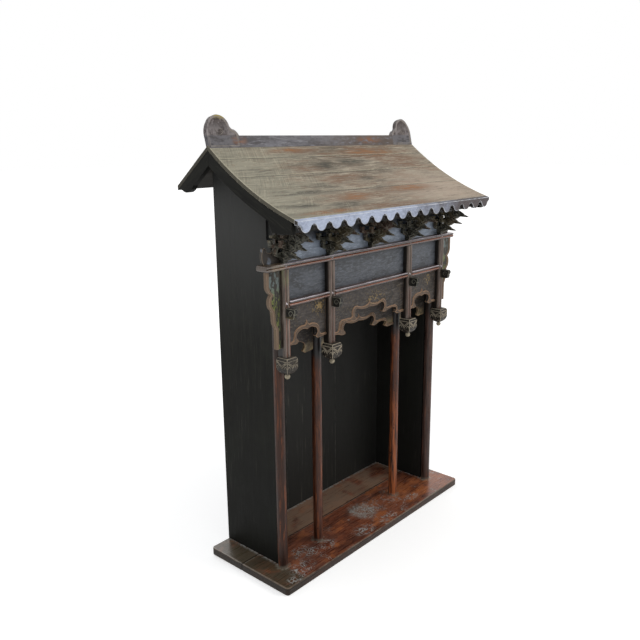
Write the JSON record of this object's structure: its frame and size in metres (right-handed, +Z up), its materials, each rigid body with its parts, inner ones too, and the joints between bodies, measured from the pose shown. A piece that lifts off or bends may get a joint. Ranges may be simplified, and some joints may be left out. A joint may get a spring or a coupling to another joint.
{
  "type": "household altar shrine",
  "caption": "Open-fronted wooden household shrine shaped like a small temple front, with a dished gable roof, bracket clusters, a beaded frieze, cusped aprons, slim columns and a plank base.",
  "frame": {"origin": "middle of the underside of the base, on the surface it stands on", "axes": "+X to the right seen from the front, +Y to the back, +Z up"},
  "size_m": [0.8712, 0.434, 1.2471],
  "materials": {
    "apron_wood": "dark carved wood with a worn rim",
    "base_wood": "red-brown wood with worn lacquer and pale drips",
    "bracket_wood": "dark carved wood with paint remains",
    "column_wood": "red-brown lacquered wood",
    "crest_wood": "carved wood with paint remains",
    "dark_wood": "worn dark stain, nearly black",
    "eave_wood": "blue-grey worn wood",
    "panel_wood": "dark blue-grey stained wood",
    "rail_wood": "worn brown wood",
    "roof_wood": "bare weathered wood",
    "wing_wood": "wood with green and yellow paint remains"
  },
  "bodies": {
    "root": {"back_wall": "dark_wood", "base_back_board": "base_wood", "base_front_board": "base_wood", "beam_ends": "bracket_wood", "cove_board": "panel_wood", "eave_board": "eave_wood", "eave_purlin": "dark_wood", "inner_left_bracket": "bracket_wood", "inner_left_column": "column_wood", "inner_left_pendant": "bracket_wood", "inner_left_post": "rail_wood", "inner_right_bracket": "bracket_wood", "inner_right_column": "column_wood", "inner_right_pendant": "bracket_wood", "inner_right_post": "rail_wood", "left_apron": "apron_wood", "left_cheek": "dark_wood", "left_front_bargeboard": "dark_wood", "left_inner_apron": "apron_wood", "left_panel": "panel_wood", "left_rear_bargeboard": "dark_wood", "left_ridge_end": "crest_wood", "left_wall": "dark_wood", "left_wing": "wing_wood", "lintel": "dark_wood", "lower_rail": "rail_wood", "middle_apron": "apron_wood", "middle_bracket": "bracket_wood", "middle_inner_apron": "apron_wood", "middle_panel": "panel_wood", "outer_left_bracket": "bracket_wood", "outer_left_column": "column_wood", "outer_left_pendant": "bracket_wood", "outer_left_post": "rail_wood", "outer_right_bracket": "bracket_wood", "outer_right_column": "column_wood", "outer_right_pendant": "bracket_wood", "outer_right_post": "rail_wood", "ridge_board": "crest_wood", "right_apron": "apron_wood", "right_cheek": "dark_wood", "right_front_bargeboard": "dark_wood", "right_inner_apron": "apron_wood", "right_panel": "panel_wood", "right_rear_bargeboard": "dark_wood", "right_ridge_end": "crest_wood", "right_wall": "dark_wood", "right_wing": "wing_wood", "roof_front": "roof_wood", "roof_rear": "roof_wood", "upper_rail": "rail_wood"}
  },
  "joints": []
}
